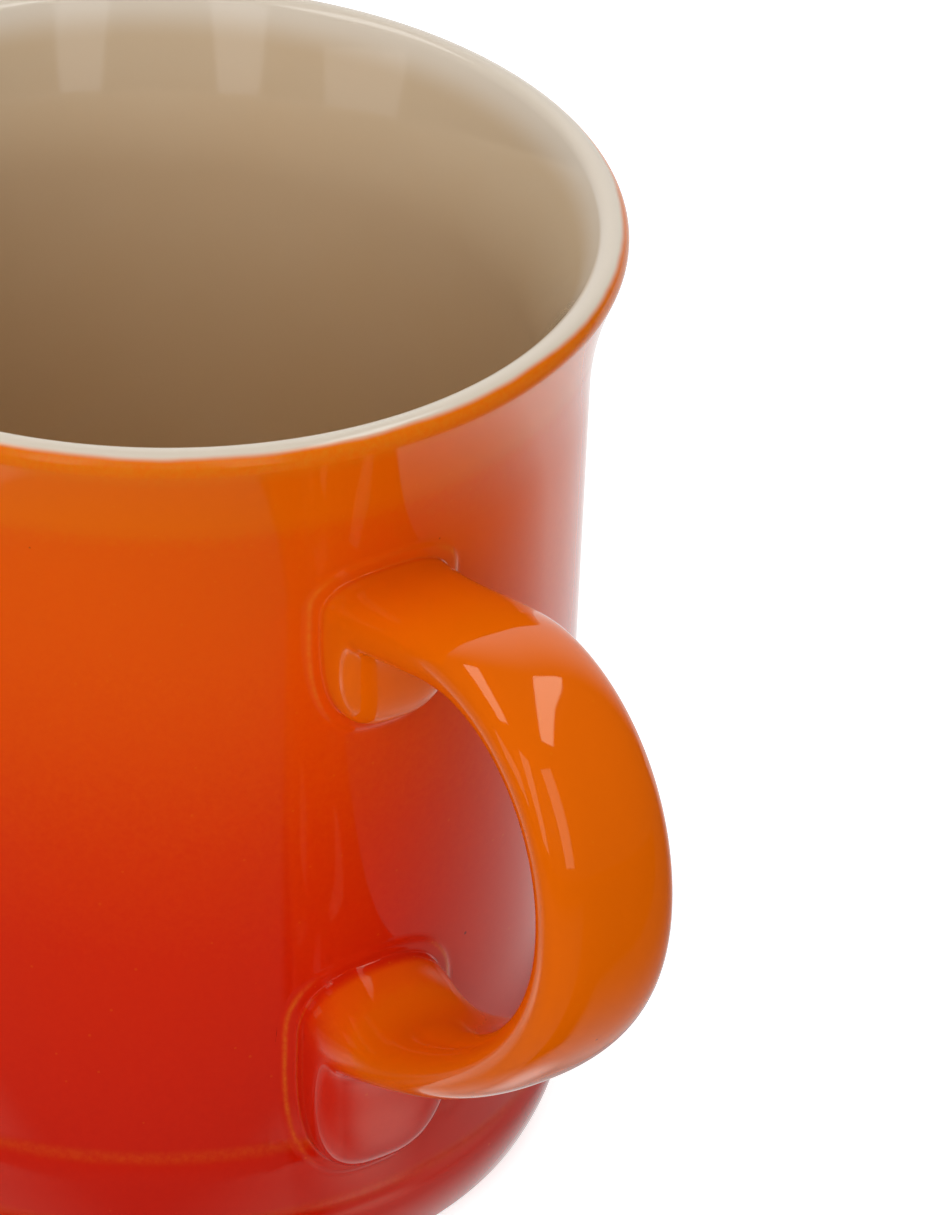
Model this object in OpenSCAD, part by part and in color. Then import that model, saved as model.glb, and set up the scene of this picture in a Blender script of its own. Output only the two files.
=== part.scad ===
// Glazed stoneware soup mug with a pulled strap handle.
// Millimetres, +Z up, origin on the mug's axis at the table. The handle stands out along +X.

/* [Body] */
// Height from the table to the top of the lip
mug_h = 106; // [85:0.5:130]
// Radius of the straight wall, over the glaze
wall_r = 44.8; // [38:0.1:54]
// Thickness of the fired clay wall
wall_t = 4.8; // [3:0.1:7]
// Thickness of the fired clay floor
floor_t = 4.4; // [3:0.1:8]
// Radius of the corner inside, where the wall meets the floor
corner_r = 10; // [4:0.5:18]

/* [Lip] */
// How far the lip leans out past the wall
lip_lean = 3.2; // [0.5:0.1:6]
// Radius of the rounded lip, over the glaze
lip_round = 1.75; // [1.2:0.05:2.4]
// How far the outside leans from upright where it reaches the lip
lean_angle = 21; // [14:0.5:35]
// How far the inside leans from upright where it reaches the lip
open_angle = 32.5; // [15:0.5:45]

/* [Foot] */
// Height of the middle of the upper step on the outside
upper_step_z = 17.7; // [13:0.1:26]
// Height of the middle of the lower step on the outside
lower_step_z = 9.1; // [6.5:0.1:11]
// How far each step stands out
step_out = 0.5; // [0.2:0.05:1.2]
// Height of the soft curve of each step
step_h = 3; // [1.5:0.1:4]
// How far the foot draws in from the lower step to its rounded edge
foot_taper = 1.5; // [0.5:0.1:3]
// Radius of the rounded edge of the foot, over the glaze
foot_round = 1.7; // [1.2:0.1:2.4]
// How far the foot leans from upright where it reaches its rounded edge
foot_lean = 25; // [15:1:40]
// Height of the bare ring below the rounded edge
ring_h = 0.4; // [0.2:0.05:1]
// Width of the bare ring that stands on the table
ring_w = 3.4; // [2:0.1:6]
// Height of the hollow under the floor
hollow_h = 2.8; // [1.5:0.1:5]

/* [Handle] */
// Width of the strap
strap_w = 14; // [10:0.1:22]
// Thickness of the strap
strap_t = 6; // [4.5:0.1:10]
// How square the strap's rounded section is (2 is an ellipse)
strap_square = 2.4; // [2:0.1:3.5]
// How square the toe of a root is on the wall
toe_square = 2.9; // [2:0.1:4]
// Distance from the wall to the strap's middle line at its farthest
reach = 40.4; // [30:0.1:50]
// Depth of the farthest point of the strap below the top of the lip
reach_drop = 36.8; // [28:0.1:44]
// Distance from the wall to the crest of the strap
crest_out = 21.8; // [16:0.1:26]
// Depth of the crest of the strap below the top of the lip
crest_drop = 17.1; // [12:0.1:22]
// Depth below the top of the lip at which the strap leaves the upper root
upper_root_drop = 21.9; // [20:0.1:28]
// Height at which the strap enters the lower root
lower_root_z = 32.5; // [30:0.1:36]
// How far the upper root spreads up along the wall
upper_spread_up = 0.5; // [0.2:0.1:4]
// How far the upper root spreads down along the wall
upper_spread_down = 10.4; // [3:0.1:14]
// How far the lower root spreads up along the wall
lower_spread_up = 4; // [1:0.1:9]
// How far the lower root spreads down along the wall
lower_spread_down = 14.4; // [3:0.1:16]
// Thickness of the toe, the pad that a root spreads into down the wall
toe_t = 3.4; // [2.6:0.1:8]
// Length along the strap over which the other sides of a root flare out
flare_len = 7.5; // [4:0.1:12]
// Extra width of the upper root
upper_root_extra = 0.2; // [0:0.1:4]
// Extra width of the lower root
lower_root_extra = 2.8; // [0:0.1:5]

/* [Slip joints] */
// Width of the slip bead on the wall, around a root
bead_w = 1.5; // [0.8:0.1:2.5]
// Height of the slip bead on the side of a root
bead_h = 1.3; // [0.6:0.1:2]

/* [Glaze] */
// Thickness of the outer glaze
glaze_t = 0.4; // [0.2:0.05:0.6]
// Thickness of the liner glaze
liner_t = 0.4; // [0.2:0.05:0.6]
// Angle round the lip, up from its outermost line, where the two glazes meet
meet_angle = 58; // [20:1:85]
// Angle round the foot's edge, down from its outermost line, where the glaze was wiped off
wipe_angle = 55; // [20:1:70]

/* [Hidden] */
$fn = 96;
clay_r = wall_r - glaze_t;
inner_r = clay_r - wall_t;
lip_tube = lip_round - glaze_t;
lip_r = wall_r + lip_lean - lip_round;
lip_z = mug_h - lip_round;
flare_z = lip_z - lip_tube * sin(lean_angle);
flare_out = lip_r + lip_tube * cos(lean_angle) - clay_r;
flare_h = 2 * flare_out / tan(lean_angle);
foot_tube = foot_round - glaze_t;
foot_r = clay_r + 2 * step_out - foot_taper - foot_tube;
foot_z = ring_h + foot_tube;
foot_top_z = lower_step_z - step_h / 2;
ring_r = foot_r - ring_h;
floor_z = hollow_h + floor_t;
hollow_r = ring_r - ring_w;
reach_z = mug_h - reach_drop;
crest_z = mug_h - crest_drop;
upper_root_z = mug_h - upper_root_drop;

// rings along the strap, points round each ring
rings = 48;
around = 28;
// rows of the curved face where a root sits on the wall
seat_rows = 10;

// an eased step from 0 to 1, level at both ends
function ease(t) = let (c = max(0, min(1, t))) c * c * (3 - 2 * c);
function arc(cx, cz, r, a0, a1, n) =
    [for (i = [0 : n]) let (a = a0 + (a1 - a0) * i / n) [cx + r * cos(a), cz + r * sin(a)]];
function bend(a, b, c, n) =
    [for (i = [1 : n]) let (t = i / n) (1 - t) * (1 - t) * a + 2 * t * (1 - t) * b + t * t * c];
function reversed(v) = [for (i = [len(v) - 1 : -1 : 0]) v[i]];
function flat(v) = [for (a = v) for (b = a) b];

// radius of the clay outside at a height between the foot and the lip
function clay_at(z) =
    clay_r
    + step_out * ease((upper_step_z + step_h / 2 - z) / step_h)
    + step_out * ease((lower_step_z + step_h / 2 - z) / step_h)
    + flare_out * pow(max(0, 1 + (z - flare_z) / flare_h), 2);

// outside of the clay, from the wiped edge of the foot up to where the glazes meet; d is added over the clay
function foot_side(d) =
    let (edge = arc(foot_r, foot_z, foot_tube + d, -wipe_angle, -foot_lean, 4),
         low = edge[4],
         r = clay_r + 2 * step_out + d)
    concat(edge, bend(low, [r, low[1] + (r - low[0]) / tan(foot_lean)], [r, foot_top_z], 6));
function wall_heights() =
    concat([for (i = [1 : 6]) foot_top_z + step_h * i / 6],
           [for (i = [0 : 6]) upper_step_z - step_h / 2 + step_h * i / 6],
           [for (i = [0 : 9]) flare_z - flare_h + flare_h * i / 10]);
function wall_side(d) =
    [for (z = wall_heights())
        let (s = (clay_at(z + 0.01) - clay_at(z - 0.01)) / 0.02, n = sqrt(1 + s * s))
        [clay_at(z) + d / n, z - d * s / n]];
function lip_side(d) = arc(lip_r, lip_z, lip_tube + d, -lean_angle, meet_angle, 6);
function outside(d) = concat(foot_side(d), wall_side(d), lip_side(d));

// inside of the clay, from where the glazes meet, over the lip and down to the middle of the floor
function inside(d) =
    let (lip = arc(lip_r, lip_z, lip_tube + d, meet_angle, 180 - open_angle, 10),
         low = lip[10],
         r = inner_r - d,
         drop = (low[0] - r) / tan(open_angle))
    concat(lip,
           bend(low, [r, low[1] - drop], [r, low[1] - 2 * drop], 10),
           arc(inner_r - corner_r, floor_z + corner_r, corner_r - d, 0, -90, 9),
           [[0, floor_z + d]]);

// the strap's middle line in the XZ plane, measured out from the wall: three curves end to end
function bezier(a, b, c, d, t) =
    pow(1 - t, 3) * a + 3 * t * pow(1 - t, 2) * b + 3 * t * t * (1 - t) * c + pow(t, 3) * d;
root_up = [0, upper_root_z];
crest = [crest_out, crest_z];
far = [reach, reach_z];
root_low = [0, lower_root_z];
upper_curve = [root_up, root_up + [0.26 * crest_out, 0], crest - [0.28 * crest_out, 0], crest];
bend_curve = [crest, crest + [0.55 * (reach - crest_out), 0], far + [0, 0.61 * (crest_z - reach_z)], far];
lower_curve = [far, far - [0, 0.57 * (reach_z - lower_root_z)], root_low + [0.27 * reach, 0], root_low];
function along(u) =
    let (k = min(2, floor(u * 3)), c = [upper_curve, bend_curve, lower_curve][k])
    bezier(c[0], c[1], c[2], c[3], u * 3 - k);

// rings are closer together at the roots, where the strap spreads
function ring_u(i) = let (t = i / (rings - 1)) 0.5 - 0.5 * (0.62 * cos(180 * t) + 0.38 * (1 - 2 * t));
line_pts = [for (i = [0 : rings - 1]) along(ring_u(i))];
function run_to(i) = i == 0 ? 0 : run_to(i - 1) + norm(line_pts[i] - line_pts[i - 1]);
runs = [for (i = [0 : rings - 1]) run_to(i)];
length = runs[rings - 1];
function toe(s) = exp(-pow(s / toe_t, 3));
function flare(s) = exp(-pow(s / flare_len, 2));

// square across the middle line, pointing to the outer side of the strap
function outward(i) =
    let (u = ring_u(i), t = along(min(1, u + 0.002)) - along(max(0, u - 0.002)))
    [-t[1], t[0]] / norm(t);

function corner(c, square) = sign(c) * pow(abs(c), 2 / square);

// one ring of the strap; the first and last lie on the wall
function strap_ring(i) =
    let (p = line_pts[i],
         n = outward(i),
         a = flare(runs[i]),
         b = flare(length - runs[i]),
         toe_a = toe(runs[i]),
         toe_b = toe(length - runs[i]),
         up = strap_t / 2 + upper_spread_up * a + lower_spread_down * toe_b,
         down = strap_t / 2 + upper_spread_down * toe_a + lower_spread_up * b,
         half = strap_w / 2 + upper_root_extra / 2 * a + lower_root_extra / 2 * b,
         on_wall = i == 0 || i == rings - 1)
    [for (j = [0 : around - 1])
        let (g = 360 * j / around,
             square = strap_square + (toe_square - strap_square) * (sin(g) > 0 ? toe_b : toe_a),
             y = half * corner(cos(g), square),
             h = corner(sin(g), square) * (sin(g) > 0 ? up : down),
             q = p + n * h,
             r = clay_at(q[1]))
        [on_wall ? sqrt(r * r - y * y) : clay_r + q[0], y, q[1]]];
strap = [for (i = [0 : rings - 1]) strap_ring(i)];

// the bead ring: the root's outline moved out along the wall
function bead_edge(ring, lift) =
    let (lo = min([for (p = ring) p[2]]), hi = max([for (p = ring) p[2]]),
         cy = 0, cz = (lo + hi) / 2, w = max([for (p = ring) p[1]]), h = (hi - lo) / 2)
    [for (p = ring)
        let (y = cy + (p[1] - cy) * (w + bead_w) / w,
             z = cz + (p[2] - cz) * (h + bead_w) / h,
             r = clay_at(z) + lift)
        [sqrt(r * r - y * y), y, z]];

// the rings clear of both beads, and the ring where a bead ends on the side of its root
clear = [for (i = [1 : rings - 2]) if (min(runs[i], length - runs[i]) > 1.3 * bead_h) strap[i]];
function side_ring(a, b) =
    [for (j = [0 : around - 1]) a[j] + (b[j] - a[j]) * bead_h / norm(b[j] - a[j])];
top_side = side_ring(strap[0], clear[0]);
low_side = side_ring(strap[rings - 1], clear[len(clear) - 1]);

// a bead is hollow: its middle lies closer to the corner than the line between its edges
function hollowed(edge, root, side) =
    [for (j = [0 : around - 1]) (edge[j] + side[j]) * 0.3 + root[j] * 0.4];
top_edge = bead_edge(strap[0], 0);
low_edge = bead_edge(strap[rings - 1], 0);
top_mid = hollowed(top_edge, strap[0], top_side);
low_mid = hollowed(low_edge, strap[rings - 1], low_side);

// quads between two rings of points, as triangles
function band(a, b) =
    flat([for (j = [0 : around - 1])
        let (k = (j + 1) % around)
        [[a + j, a + k, b + k], [a + j, b + k, b + j]]]);

// the face of a root on the wall: columns of points from its lower to its upper edge
half_around = around / 2;
function seat_points(ring) =
    flat([for (j = [1 : half_around - 1])
        let (p = ring[j], q = ring[around - j])
        [for (k = [1 : seat_rows - 1])
            let (z = q[2] + (p[2] - q[2]) * k / seat_rows,
                 y = q[1] + (p[1] - q[1]) * k / seat_rows,
                 r = clay_at(z))
            [sqrt(r * r - y * y), y, z]]]);
function seat_id(base, first, j, k) =
    k == 0 ? base + (around - j) % around
    : k == seat_rows ? base + j
    : j == 0 ? base
    : j == half_around ? base + half_around
    : first + (j - 1) * (seat_rows - 1) + k - 1;
function tidy(f) = f[0] == f[1] || f[1] == f[2] || f[0] == f[2] ? [] : [f];
function seat_faces(base, first, turn) =
    flat([for (j = [0 : half_around - 1])
        flat([for (k = [0 : seat_rows - 1])
            let (a = seat_id(base, first, j, k), b = seat_id(base, first, j + 1, k),
                 c = seat_id(base, first, j + 1, k + 1), d = seat_id(base, first, j, k + 1))
            concat(tidy(turn ? [a, c, b] : [a, b, c]), tidy(turn ? [a, d, c] : [a, c, d]))])]);

module strap_solid() {
    side = concat([strap[0], top_side], clear, [low_side, strap[rings - 1]]);
    count = len(side);
    top = seat_points(side[0]);
    low = seat_points(side[count - 1]);
    first = count * around;
    faces = concat(flat([for (i = [0 : count - 2]) band(i * around, (i + 1) * around)]),
                   seat_faces(0, first, false),
                   seat_faces((count - 1) * around, first + len(top), true));
    polyhedron(concat(flat(side), top, low), faces, convexity = 6);
}

// a ring of slip: wall edge, hollow middle, side of the root, corner, and back
module bead(edge, mid, side, root, turn) {
    faces = flat([for (i = [0 : 3]) band(i * around, (i + 1) % 4 * around)]);
    polyhedron(flat([edge, mid, side, root]),
               turn ? [for (f = faces) [f[0], f[2], f[1]]] : faces, convexity = 6);
}

// the coat over the beads and the strap, between the bare rings and the same rings moved out
coat_rings = concat([top_edge, top_mid, top_side], clear, [low_side, low_mid, low_edge]);
function moved(i) =
    let (n = len(coat_rings))
    i == 0 || i == n - 1
        ? [for (p = coat_rings[i]) [sqrt(pow(clay_at(p[2]) + glaze_t, 2) - p[1] * p[1]), p[1], p[2]]]
        : [for (j = [0 : around - 1])
            let (t = coat_rings[i + 1][j] - coat_rings[i - 1][j],
                 r = coat_rings[i][(j + 1) % around] - coat_rings[i][(j + around - 1) % around],
                 c = cross(r, t))
            coat_rings[i][j] + glaze_t * c / norm(c)];

module coat() {
    n = len(coat_rings);
    outer = [for (i = [0 : n - 1]) moved(i)];
    first = n * around;
    over = flat([for (i = [0 : n - 2]) band(first + i * around, first + (i + 1) * around)]);
    under = flat([for (i = [0 : n - 2]) band((i + 1) * around, i * around)]);
    ends = concat(band(0, first), band(first + (n - 1) * around, (n - 1) * around));
    polyhedron(concat(flat(coat_rings), flat(outer)), concat(over, under, ends), convexity = 8);
}

// a straight cut through the wall's glaze, along X, in the outline of a bead
module root_cut(edge) {
    translate([clay_r / 2, 0, 0])
        rotate([90, 0, 90])
            linear_extrude(clay_r)
                polygon([for (p = edge) [p[1], p[2]]]);
}

module mug_body() {
    foot = concat([[0, hollow_h], [hollow_r - hollow_h / 2, hollow_h], [hollow_r, hollow_h / 2], [hollow_r, 0]],
                  [[ring_r, 0]],
                  arc(foot_r, foot_z, foot_tube, -90, -wipe_angle, 3));
    color("#cbb79b")
        rotate_extrude()
            polygon(concat(foot, outside(0), inside(0)));
}

module handle() {
    color("#c9b394")
        strap_solid();
}

module upper_slip_joint() {
    color("#d6c6ab")
        bead(top_edge, top_mid, top_side, strap[0], false);
}

module lower_slip_joint() {
    color("#d6c6ab")
        bead(low_edge, low_mid, low_side, strap[rings - 1], true);
}

module liner_glaze() {
    color("#e6dac6")
        rotate_extrude()
            polygon(concat(inside(liner_t), reversed(inside(0))));
}

module body_glaze() {
    color("#cf4a14")
        difference() {
            rotate_extrude()
                polygon(concat(outside(glaze_t), reversed(outside(0))));
            root_cut(top_edge);
            root_cut(low_edge);
        }
}

module handle_glaze() {
    color("#dd6510")
        coat();
}

mug_body();
handle();
upper_slip_joint();
lower_slip_joint();
liner_glaze();
body_glaze();
handle_glaze();
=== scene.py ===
"""Looks of the soup mug: its coats of glaze, the bare foot, a small studio and the photograph's camera."""

import math

import bpy
import numpy as np
from mathutils import Matrix, Vector


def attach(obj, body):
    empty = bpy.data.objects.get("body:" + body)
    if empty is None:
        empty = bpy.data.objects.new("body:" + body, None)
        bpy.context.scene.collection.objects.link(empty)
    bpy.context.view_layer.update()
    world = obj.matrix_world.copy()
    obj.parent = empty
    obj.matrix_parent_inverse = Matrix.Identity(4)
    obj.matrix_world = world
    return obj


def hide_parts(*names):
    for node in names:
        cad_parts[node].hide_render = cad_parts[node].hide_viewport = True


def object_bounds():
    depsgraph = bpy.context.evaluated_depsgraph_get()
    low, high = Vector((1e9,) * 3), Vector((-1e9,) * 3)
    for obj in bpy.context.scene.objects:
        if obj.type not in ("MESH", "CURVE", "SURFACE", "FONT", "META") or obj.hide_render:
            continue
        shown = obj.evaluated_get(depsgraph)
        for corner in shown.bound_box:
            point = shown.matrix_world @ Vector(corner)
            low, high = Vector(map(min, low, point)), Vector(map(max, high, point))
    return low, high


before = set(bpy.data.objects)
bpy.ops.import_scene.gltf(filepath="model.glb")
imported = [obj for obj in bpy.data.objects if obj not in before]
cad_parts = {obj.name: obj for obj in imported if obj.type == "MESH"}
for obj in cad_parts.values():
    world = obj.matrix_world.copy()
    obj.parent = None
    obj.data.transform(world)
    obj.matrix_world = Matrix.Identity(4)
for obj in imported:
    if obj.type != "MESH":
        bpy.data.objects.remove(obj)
cad_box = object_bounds()

MM = 0.001

# the mug's driving sizes in millimetres and degrees, as in the part's source
MUG_H = cad_box[1].z / MM
WALL_R = 44.8
WALL_T = 4.8
FLOOR_T = 4.4
CORNER_R = 10.0
GLAZE = 0.4

LIP_LEAN = 3.2
LIP_ROUND = 1.75
LEAN_ANGLE = 21.0
OPEN_ANGLE = 32.5
MEET_ANGLE = 58.0

UPPER_STEP_Z = 17.7
LOWER_STEP_Z = 9.1
STEP_OUT = 0.5
STEP_H = 3.0
FOOT_TAPER = 1.5
FOOT_ROUND = 1.7
FOOT_LEAN = 25.0
WIPE_ANGLE = 55.0
RING_H = 0.4
RING_W = 3.4
HOLLOW_H = 2.8

STRAP_W = 14.0
STRAP_T = 6.0
STRAP_SQUARE = 2.4
TOE_SQUARE = 2.9
REACH = 40.4
REACH_Z = MUG_H - 36.8
CREST_OUT = 21.8
CREST_Z = MUG_H - 17.1
UPPER_ROOT_Z = MUG_H - 21.9
LOWER_ROOT_Z = 32.5
UPPER_SPREAD_UP = 0.5
UPPER_SPREAD_DOWN = 10.4
LOWER_SPREAD_UP = 4.0
LOWER_SPREAD_DOWN = 14.4
TOE_T = 3.4
FLARE_LEN = 7.5
UPPER_ROOT_EXTRA = 0.2
LOWER_ROOT_EXTRA = 2.8

# how far the two ends of each curve of the strap are pulled along their directions, as shares of its span
UPPER_PULL = (0.26, 0.28)
BEND_PULL = (0.55, 0.61)
LOWER_PULL = (0.57, 0.27)

# the glazed joint round a root, as distance out along the wall and height over it: the squeezed-out bead
# of slip, the crease behind it and the foot of the root's side
SIDE_H = 1.7
JOINT = [(1.9, 0), (1.5, 0.03), (1.2, 0.15), (0.95, 0.22), (0.65, 0.25), (0.35, 0.26), (0.12, 0.28),
         (0.02, 0.38), (0, 0.6), (0, 1.0), (0, SIDE_H)]
BEAD_W = JOINT[0][0]

# the coats stay a hair inside the solids' own box, whose round outlines are cut into short straight pieces
COAT = GLAZE - 0.03

# sponging left the inner edge of the foot ring a little soft
RING_EDGE = 0.3

# worked out from the sizes above
CLAY_R = WALL_R - GLAZE
INNER_R = CLAY_R - WALL_T
LIP_TUBE = LIP_ROUND - GLAZE
LIP_R = WALL_R + LIP_LEAN - LIP_ROUND
LIP_Z = MUG_H - LIP_ROUND
FOOT_TUBE = FOOT_ROUND - GLAZE
FOOT_R = CLAY_R + 2 * STEP_OUT - FOOT_TAPER - FOOT_TUBE
FOOT_Z = RING_H + FOOT_TUBE
FOOT_TOP_Z = LOWER_STEP_Z - STEP_H / 2
RING_R = FOOT_R - RING_H
HOLLOW_R = RING_R - RING_W
FLOOR_Z = HOLLOW_H + FLOOR_T
LEAN = math.radians(LEAN_ANGLE)
FLARE_Z = LIP_Z - LIP_TUBE * math.sin(LEAN)
FLARE_OUT = LIP_R + LIP_TUBE * math.cos(LEAN) - CLAY_R
FLARE_H = 2 * FLARE_OUT / math.tan(LEAN)

# the wall's glaze: columns round the mug and rows of points up it; a window is left in it around each root
# of the handle, and the rows of the lower one lie close together over the upper step
COLUMNS = 240
WINDOW_HALF = 10
WINDOW_ROWS = 16
LOWER_WINDOW = [11, 12.6, 14, 15.4, 16.2, 17, 17.7, 18.4, 19.2, 20, 22, 25, 28, 32, 36, 40, 44]
BETWEEN_WINDOWS = [47, 50, 53, 56, 59]
UPPER_WINDOW = list(np.linspace(62, 95, WINDOW_ROWS + 1))
WALL_ROWS = (list(np.linspace(FOOT_TOP_Z, LOWER_STEP_Z + STEP_H / 2, 10)[1:]) + LOWER_WINDOW
             + BETWEEN_WINDOWS + UPPER_WINDOW + list(np.linspace(UPPER_WINDOW[-1], FLARE_Z, 14)[1:-1]))
CLAY_COLUMNS = 120

# the strap's glaze: points round it, rings along it, and loops on the wall between a window and a root
AROUND = 2 * (2 * WINDOW_HALF + WINDOW_ROWS)
STRAP_RINGS = 190
WALL_LOOPS = 7
CLOSER_TO_ROOT = 1.6
EVEN_SHARE = 0.45


def ease(t):
    """An eased step from 0 to 1, level at both ends."""
    c = np.clip(t, 0, 1)
    return c * c * (3 - 2 * c)


def bump(x, middle, width):
    """A soft bump of height 1 round a middle."""
    return np.exp(-((np.asarray(x) - middle) / width) ** 2)


def clay_at(z):
    """Radius of the clay outside at a height between the foot and the lip."""
    z = np.asarray(z, float)
    return (CLAY_R
            + STEP_OUT * ease((UPPER_STEP_Z + STEP_H / 2 - z) / STEP_H)
            + STEP_OUT * ease((LOWER_STEP_Z + STEP_H / 2 - z) / STEP_H)
            + FLARE_OUT * np.maximum(0, 1 + (z - FLARE_Z) / FLARE_H) ** 2)


def clay_slope(z):
    """How much the radius grows for each millimetre of height."""
    hair = 0.01
    return (clay_at(np.asarray(z) + hair) - clay_at(np.asarray(z) - hair)) / (2 * hair)


def arc(cx, cz, r, start, stop, count):
    """Points on a circle in a profile, with the angles in degrees."""
    a = np.radians(np.linspace(start, stop, count + 1))
    return np.stack([cx + r * np.cos(a), cz + r * np.sin(a)], 1)


def bend(a, b, c, count):
    """Points on a curve from a to c that is pulled towards b; a itself is left out."""
    t = np.linspace(0, 1, count + 1)[1:, None]
    return (1 - t) ** 2 * np.array(a) + 2 * t * (1 - t) * np.array(b) + t * t * np.array(c)


def foot_profile(d, count):
    """The foot from the wiped edge up to the lower step, d over the clay."""
    edge = arc(FOOT_R, FOOT_Z, FOOT_TUBE + d, -WIPE_ANGLE, -FOOT_LEAN, 6)
    low = edge[-1]
    r = CLAY_R + 2 * STEP_OUT + d
    turn = (r, low[1] + (r - low[0]) / math.tan(math.radians(FOOT_LEAN)))
    return np.concatenate([edge, bend(low, turn, (r, FOOT_TOP_Z), count)])


def outer_profile():
    """The outer glaze from its rolled edge up to the liner, and how many points lie below the wall's rows."""
    w = math.radians(WIPE_ANGLE)
    edge_middle = np.array([FOOT_R, FOOT_Z]) + (FOOT_TUBE + COAT / 2) * np.array([math.cos(w), -math.sin(w)])
    roll = edge_middle + COAT / 2 * arc(0, 0, 1, -WIPE_ANGLE - 180, -WIPE_ANGLE, 6)[:-1]
    foot = foot_profile(COAT, 10)
    z = np.array(WALL_ROWS)
    s = clay_slope(z)
    n = np.sqrt(1 + s * s)
    wall = np.stack([clay_at(z) + COAT / n, z - COAT * s / n], 1)
    lip = arc(LIP_R, LIP_Z, LIP_TUBE + COAT, -LEAN_ANGLE, MEET_ANGLE, 14)
    return np.concatenate([roll, foot, wall, lip]), len(roll) + len(foot)


def inside_profile(d):
    """The inside from where the glazes meet, over the lip, to the middle of the floor, d over the clay."""
    lip = arc(LIP_R, LIP_Z, LIP_TUBE + d, MEET_ANGLE, 180 - OPEN_ANGLE, 22)
    low = lip[-1]
    r = INNER_R - d
    drop = (low[0] - r) / math.tan(math.radians(OPEN_ANGLE))
    throat = bend(low, (r, low[1] - drop), (r, low[1] - 2 * drop), 20)
    corner = arc(INNER_R - CORNER_R, FLOOR_Z + CORNER_R, CORNER_R - d, 0, -90, 20)
    wall_z = np.linspace(throat[-1][1], corner[0][1], 15)[1:]
    wall = np.stack([np.full(len(wall_z), r), wall_z], 1)
    floor_r = np.linspace(corner[-1][0], 0, 12)[1:]
    floor = np.stack([floor_r, np.full(len(floor_r), FLOOR_Z + d)], 1)
    return np.concatenate([lip, throat, wall, corner[1:], floor])


def clay_profile():
    """The whole clay body, from the middle of its underside round the foot and the lip to the inside."""
    hollow_flat = HOLLOW_R - HOLLOW_H / 2
    hollow_r = np.linspace(0, hollow_flat, 20)
    hollow = np.stack([hollow_r, np.full(len(hollow_r), HOLLOW_H)], 1)
    hollow_side = bend((hollow_flat, HOLLOW_H), (HOLLOW_R, HOLLOW_H), (HOLLOW_R, HOLLOW_H / 2), 6)
    ring_edge = bend((HOLLOW_R, RING_EDGE), (HOLLOW_R, 0), (HOLLOW_R + RING_EDGE, 0), 4)
    ring = np.concatenate([[[HOLLOW_R, RING_EDGE]], ring_edge, [[RING_R, 0.0]]])
    foot_edge = arc(FOOT_R, FOOT_Z, FOOT_TUBE, -90, -WIPE_ANGLE, 5)
    z = np.array(WALL_ROWS)
    wall = np.stack([clay_at(z), z], 1)
    lip = arc(LIP_R, LIP_Z, LIP_TUBE, -LEAN_ANGLE, MEET_ANGLE, 8)
    return np.concatenate([hollow, hollow_side, ring, foot_edge, foot_profile(0, 8)[1:], wall, lip,
                           inside_profile(0)[1:]])


def profile_normals(profile):
    """Outward direction at each point of a profile that runs with the material on its left."""
    t = np.gradient(profile, axis=0)
    n = np.stack([t[:, 1], -t[:, 0]], 1)
    return n / np.linalg.norm(n, axis=1, keepdims=True)


def turned(profile, columns):
    """A profile turned about the mug's axis: points and outward directions, row by row."""
    a = 2 * np.pi * np.arange(columns) / columns
    c, s = np.cos(a)[None, :], np.sin(a)[None, :]
    n = profile_normals(profile)
    points = np.stack([profile[:, :1] * c, profile[:, :1] * s, profile[:, 1:] + 0 * c], 2)
    normals = np.stack([n[:, :1] * c, n[:, :1] * s, n[:, 1:] + 0 * c], 2)
    return points.reshape(-1, 3), normals.reshape(-1, 3)


def turned_faces(rows, columns, skip=lambda row, column: False):
    """Quads between the rows of a turned profile."""
    faces = []
    for i in range(rows - 1):
        for k in range(columns):
            if not skip(i, k):
                j = (k + 1) % columns
                faces.append((i * columns + k, i * columns + j, (i + 1) * columns + j, (i + 1) * columns + k))
    return faces


def make_piece(name, points, normals, faces, material, slot, node, thin=None):
    """A smooth mesh piece in metres that keeps its own normals, rides on the mug and stands for a node."""
    used = sorted({i for f in faces for i in f})
    place = {old: new for new, old in enumerate(used)}
    mesh = bpy.data.meshes.new(name)
    mesh.from_pydata([tuple(points[i] * MM) for i in used], [], [[place[i] for i in f] for f in faces])
    mesh.shade_smooth()
    mesh.normals_split_custom_set_from_vertices([tuple(normals[i]) for i in used])
    if thin is not None:
        thin_glaze = mesh.attributes.new("thin_glaze", "FLOAT", "POINT")
        thin_glaze.data.foreach_set("value", [float(thin[i]) for i in used])
    piece = bpy.data.objects.new(name, mesh)
    bpy.context.scene.collection.objects.link(piece)
    mesh.materials.append(material)
    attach(piece, "root")
    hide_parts(node)


# the strap's middle line: distance out from the wall and height, three curves end to end
CREST = np.array([CREST_OUT, CREST_Z])
FAR = np.array([REACH, REACH_Z])
ROOT_UP = np.array([0.0, UPPER_ROOT_Z])
ROOT_LOW = np.array([0.0, LOWER_ROOT_Z])
STRAP_CURVES = [
    (ROOT_UP, ROOT_UP + (UPPER_PULL[0] * CREST_OUT, 0),
     CREST - (UPPER_PULL[1] * CREST_OUT, 0), CREST),
    (CREST, CREST + (BEND_PULL[0] * (REACH - CREST_OUT), 0),
     FAR + (0, BEND_PULL[1] * (CREST_Z - REACH_Z)), FAR),
    (FAR, FAR - (0, LOWER_PULL[0] * (REACH_Z - LOWER_ROOT_Z)),
     ROOT_LOW + (LOWER_PULL[1] * REACH, 0), ROOT_LOW),
]


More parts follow.
